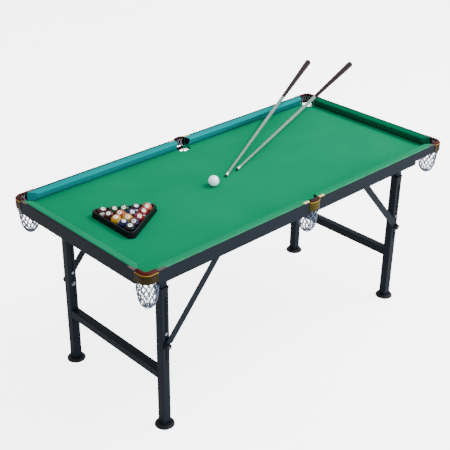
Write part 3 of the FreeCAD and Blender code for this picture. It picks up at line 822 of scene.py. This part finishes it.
def number_mesh(number, radius):
    """The ball's number, raised a hair off its surface round the disc's middle."""
    one_digit, two_digits, thicken = 0.74, 0.58, 0.018  # in ball radii
    longest_edge, raised = 0.09, 1.006
    text = bpy.data.curves.new("number", "FONT")
    text.body = str(number)
    text.align_x = "CENTER"
    text.align_y = "CENTER"
    text.size = (one_digit if number < 10 else two_digits) * radius
    text.offset = thicken * radius
    holder = bpy.data.objects.new("number", text)
    bpy.context.collection.objects.link(holder)
    bpy.context.view_layer.update()
    graph = bpy.context.evaluated_depsgraph_get()
    mesh = bpy.data.meshes.new_from_object(holder.evaluated_get(graph))
    fine = bmesh.new()
    fine.from_mesh(mesh)
    for _ in range(4):
        bmesh.ops.triangulate(fine, faces=fine.faces)
        long = [edge for edge in fine.edges if edge.calc_length() > longest_edge * radius]
        if long:
            bmesh.ops.subdivide_edges(fine, edges=long, cuts=1)
    bmesh.ops.triangulate(fine, faces=fine.faces)
    fine.verts.index_update()
    verts = [Vector((v.co.x, v.co.y, radius)).normalized() * radius * raised
             for v in fine.verts]
    faces = [tuple(v.index for v in face.verts) for face in fine.faces]
    fine.free()
    bpy.data.objects.remove(holder)
    bpy.data.meshes.remove(mesh)
    return verts, faces


def ball_centres():
    """The centre of each of the fifteen solids in the racked balls' node."""
    node = NODES["object_balls"]
    mesh = bmesh.new()
    mesh.from_mesh(node.data)
    mesh.transform(node.matrix_world)
    seen, centres = set(), []
    for vert in mesh.verts:
        if vert.index in seen:
            continue
        group, heap = [], [vert]
        seen.add(vert.index)
        while heap:
            v = heap.pop()
            group.append(v.co.copy())
            for edge in v.link_edges:
                other = edge.other_vert(v)
                if other.index not in seen:
                    seen.add(other.index)
                    heap.append(other)
        centres.append(box_centre(group))
    mesh.free()
    return centres


def balls():
    """The racked balls with their numbers, and the cue ball."""
    radius = (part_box("object_balls")[1][2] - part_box("object_balls")[0][2]) / 2
    centres = ball_centres()
    apex = min(centres, key=lambda c: c.y)
    middle = sum(centres, Vector()) / len(centres)
    back = (middle - apex).normalized()
    left = Vector((-back.y, back.x, 0))
    row_gap = 2 * radius * math.sqrt(3) / 2
    rows = [[] for _ in RACK_ORDER]
    for centre in centres:
        rows[round((centre - apex).dot(back) / row_gap)].append(centre)
    up_and_forward, tilt, twist = Vector((-0.30, -0.42, 0.86)), 0.22, 0.7
    turns = random.Random(5)
    for row, numbers in zip(rows, RACK_ORDER):
        row.sort(key=lambda c: -(c - apex).dot(left))
        for centre, number in zip(row, numbers):
            aside = Vector((turns.uniform(-1, 1), turns.uniform(-1, 1), 0))
            face_to = up_and_forward + tilt * aside
            spin = Matrix.Rotation(turns.uniform(-twist, twist), 4, "Z")
            face_up = face_to.to_track_quat("Z", "Y").to_matrix().to_4x4()
            pose = Matrix.Translation(centre) @ face_up @ spin
            name = f"ball_{number:02d}"
            verts, faces = ball_mesh(Vector(), radius, 32, 64)
            ball = make(name, verts, faces, "cue_ball", "racked_balls")
            ball.data.materials[0] = ball_material(number)
            ball.matrix_world = pose
            verts, faces = number_mesh(number, radius)
            mark = make(name + "_number", verts, faces, "ink", "racked_balls")
            mark.matrix_world = pose
            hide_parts("object_balls")
    low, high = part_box("cue_ball")
    verts, faces = ball_mesh(Vector(), (high[2] - low[2]) / 2, 40, 80)
    centre = (Vector(low) + Vector(high)) / 2
    verts = [v + centre for v in verts]
    white = make("cue_ball_round", verts, faces, "cue_ball", "white_ball")
    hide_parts("cue_ball")


# ---------------------------------------------------------------- cues
def line_of(name):
    """The centres of the two ends of a long turned CAD piece."""
    node = NODES[name]
    points = [node.matrix_world @ v.co for v in node.data.vertices]
    far = max(points, key=lambda p: (p - points[0]).length)
    other = max(points, key=lambda p: (p - far).length)
    way = (far - other).normalized()
    spread = [(p - other).dot(way) for p in points]
    ends = []
    for at in (min(spread), max(spread)):
        ends.append(box_centre([p for p, s in zip(points, spread) if abs(s - at) < 6 * MM]))
    return ends


def cue(which):
    """Chalked tip, white ferrule, pale shaft and joint ring, dark butt, bands and rubber end."""
    body = f"cue_over_{which}_rail"
    ends = line_of(body + "_shaft") + line_of(body + "_butt")
    start = min(ends, key=lambda p: p.z)
    stop = max(ends, key=lambda p: p.z)
    way = (stop - start).normalized()
    length = (stop - start).length
    joint = 0.63 * length
    ferrule_start, ferrule_end = 8 * MM, 25 * MM
    joint_half, ring_edge, ring_raised = 4 * MM, 3.6 * MM, 0.25 * MM
    butt_end, end_radius, end_round = length - 12 * MM, 12.5 * MM, 5 * MM
    turn = way.to_track_quat("Z", "Y").to_matrix().to_4x4()
    pose = Matrix.Translation(start) @ turn

    def width(s):
        """The cue's radius at a distance from its tip."""
        thin, mid, thick = 4.2 * MM, 7.0 * MM, 12.5 * MM
        if s < joint:
            return thin + (mid - thin) * s / joint
        return mid + (thick - mid) * (s - joint) / (length - joint)

    def taper(low, high):
        """Points along the cue between two distances from its tip."""
        steps = 14
        spots = [low + (high - low) * i / steps for i in range(steps + 1)]
        return [(s, width(s)) for s in spots]

    def part(name, profile, material, slot, old):
        """A turned piece from (distance from the tip, radius) points, in place of the old."""
        verts, faces = turned([(r, s) for s, r in profile], 40)
        piece = make(f"{body}_{name}", verts, faces, material, body)
        piece.matrix_world = pose
        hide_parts(body + old)

    tip = [(0.0, 0.0), (0.2 * MM, 1.5 * MM), (0.7 * MM, 2.9 * MM), (1.6 * MM, 3.6 * MM),
           (3.0 * MM, 3.9 * MM), (ferrule_start, 4.0 * MM)]
    part("tip", tip, "tip", "cue_shaft", "_shaft")
    ferrule = [(ferrule_start, 4.05 * MM), (8.3 * MM, 4.2 * MM),
               (ferrule_end, width(ferrule_end)), (ferrule_end, 0.0)]
    part("ferrule", ferrule, "ferrule", "cue_shaft", "_shaft")
    shaft = taper(25.2 * MM, joint - joint_half)
    part("shaft", shaft, "cue_shaft", "cue_shaft", "_shaft")
    raised = width(joint) + ring_raised
    ring = [(joint - joint_half, width(joint)), (joint - ring_edge, raised),
            (joint + ring_edge, raised), (joint + joint_half, width(joint))]
    part("joint_ring", ring, "cue_shaft", "cue_butt", "_butt")
    part("butt", taper(joint + joint_half, butt_end), "cue_butt", "cue_butt", "_butt")
    for i, back in enumerate((60, 54)):
        at = length - back * MM
        raised = width(at) + 0.12 * MM
        band = [(at - 1.2 * MM, width(at)), (at - 1.0 * MM, raised),
                (at + 1.0 * MM, raised), (at + 1.2 * MM, width(at))]
        part(f"band_{i}", band, "black_plastic", "cue_butt", "_butt")
    bumper = [(butt_end, 12.3 * MM), (butt_end + 0.5 * MM, end_radius),
              (length - end_round, end_radius)]
    steps = 8
    for i in range(1, steps + 1):
        a = math.pi / 2 * i / steps
        bumper.append((length - end_round + end_round * math.sin(a),
                       end_radius - end_round + end_round * math.cos(a)))
    bumper.append((length, 0.0))
    part("bumper", bumper, "black_plastic", "cue_butt", "_butt")


# ---------------------------------------------------------------- CAD pieces
def second_material(node, material, where):
    """Gives a CAD piece's faces a second material where the face's centre says so."""
    node.data.materials.append(MATERIALS[material])
    for face in node.data.polygons:
        face.material_index = int(where(node.matrix_world @ face.center))


SLOT_OF = {s["node"]: s["material_slot"] for s in frame["record"]["subparts"]}
SOFT_EDGED = ("apron", "leg_metal", "brace_metal", "black_plastic", "foot_rubber", "plate",
              "bolt_steel")
for name, node in NODES.items():
    slot = SLOT_OF[name]
    node.data.materials.clear()
    node.data.materials.append(MATERIALS.get(slot, MATERIALS["black_plastic"]))
    if slot in SOFT_EDGED:
        bevel(node, 0.5 * MM)
    if slot == "plate":
        second_material(node, "corner_plate", lambda centre: abs(centre.x) > HALF_LENGTH / 2)
    # the front apron's top faces get the painted highlight
    if name == "apron_front":
        second_material(node, "painted_edge_highlight", lambda centre: centre.z > RAIL_Z - 0.1 * MM)


bed_cloth()
cushions()
liners()
nets()
balls()
for which in ("long", "end"):
    cue(which)


# ---------------------------------------------------------------- stage
def seen_bright(tree, shader_socket, target):
    """Adds a plain glow that only the camera sees, so the surroundings read as near white."""
    rays = add(tree, "ShaderNodeLightPath")
    glow = add(tree, "ShaderNodeEmission", Strength=GLOW)
    off = add(tree, "ShaderNodeEmission", Strength=0.0)
    choose = add(tree, "ShaderNodeMixShader")
    tree.links.new(rays.outputs["Is Camera Ray"], choose.inputs["Fac"])
    tree.links.new(off.outputs["Emission"], choose.inputs[1])
    tree.links.new(glow.outputs["Emission"], choose.inputs[2])
    both = add(tree, "ShaderNodeAddShader")
    tree.links.new(shader_socket, both.inputs[0])
    tree.links.new(choose.outputs["Shader"], both.inputs[1])
    tree.links.new(both.outputs["Shader"], target)


def floor():
    """A wide pale floor under the table."""
    bpy.ops.mesh.primitive_plane_add(size=40, location=(0, 0, 0))
    plane = bpy.context.object
    plane.name = "floor"
    mat = finish_material("pale floor", (0.93, 0.93, 0.93), 0.9, grain=40.0, bump=0.02, blotch=1.5,
                          vary=0.01)
    tree = mat.node_tree
    out = next(n for n in tree.nodes if n.type == "OUTPUT_MATERIAL")
    shader = next(n for n in tree.nodes if n.type == "BSDF_PRINCIPLED")
    seen_bright(tree, shader.outputs["BSDF"], out.inputs["Surface"])
    plane.data.materials.append(mat)


def area_light(name, place, target, size, power, color):
    """A rectangular light aimed at a target."""
    light = bpy.data.lights.new(name, "AREA")
    light.shape = "RECTANGLE"
    light.size, light.size_y = size
    light.energy = power
    light.color = color
    holder = bpy.data.objects.new(name, light)
    holder.location = place
    holder.rotation_euler = (Vector(target) - Vector(place)).to_track_quat("-Z", "Y").to_euler()
    bpy.context.collection.objects.link(holder)


def world():
    """An even white backdrop that lights the table from all round."""
    sky = bpy.data.worlds.new("studio")
    bpy.context.scene.world = sky
    sky.use_nodes = True
    background = sky.node_tree.nodes["Background"]
    background.inputs["Color"].default_value = (1.0, 1.0, 1.0, 1)
    background.inputs["Strength"].default_value = 1.45
    out = sky.node_tree.nodes["World Output"]
    seen_bright(sky.node_tree, background.outputs["Background"], out.inputs["Surface"])


def camera():
    """A long lens from the front left corner, a little above the table."""
    cam = bpy.data.cameras.new("camera")
    cam.lens = 75.5
    holder = bpy.data.objects.new("camera", cam)
    place = Vector((-2.0721, -2.0726, 2.0152))
    look = Vector((0.60937, 0.63295, -0.47755)).normalized()
    right = look.cross(Vector((0, 0, 1))).normalized()
    up = right.cross(look)
    roll = math.radians(0.764)
    right, up = (right * math.cos(roll) + up * math.sin(roll),
                 up * math.cos(roll) - right * math.sin(roll))
    turn = Matrix((right, up, -look)).transposed().to_4x4()
    holder.matrix_world = Matrix.Translation(place) @ turn
    bpy.context.collection.objects.link(holder)
    bpy.context.scene.camera = holder


floor()
world()
area_light("key", place=(3.0, -1.6, 4.6), target=(0, 0, 0.6), size=(2.4, 2.4),
           power=400, color=(1.0, 0.99, 0.97))
area_light("blue front", place=(0.6, -3.4, 1.3), target=(0, 0, 0.5), size=(3.0, 1.6),
           power=145, color=(0.70, 0.85, 1.0))
camera()
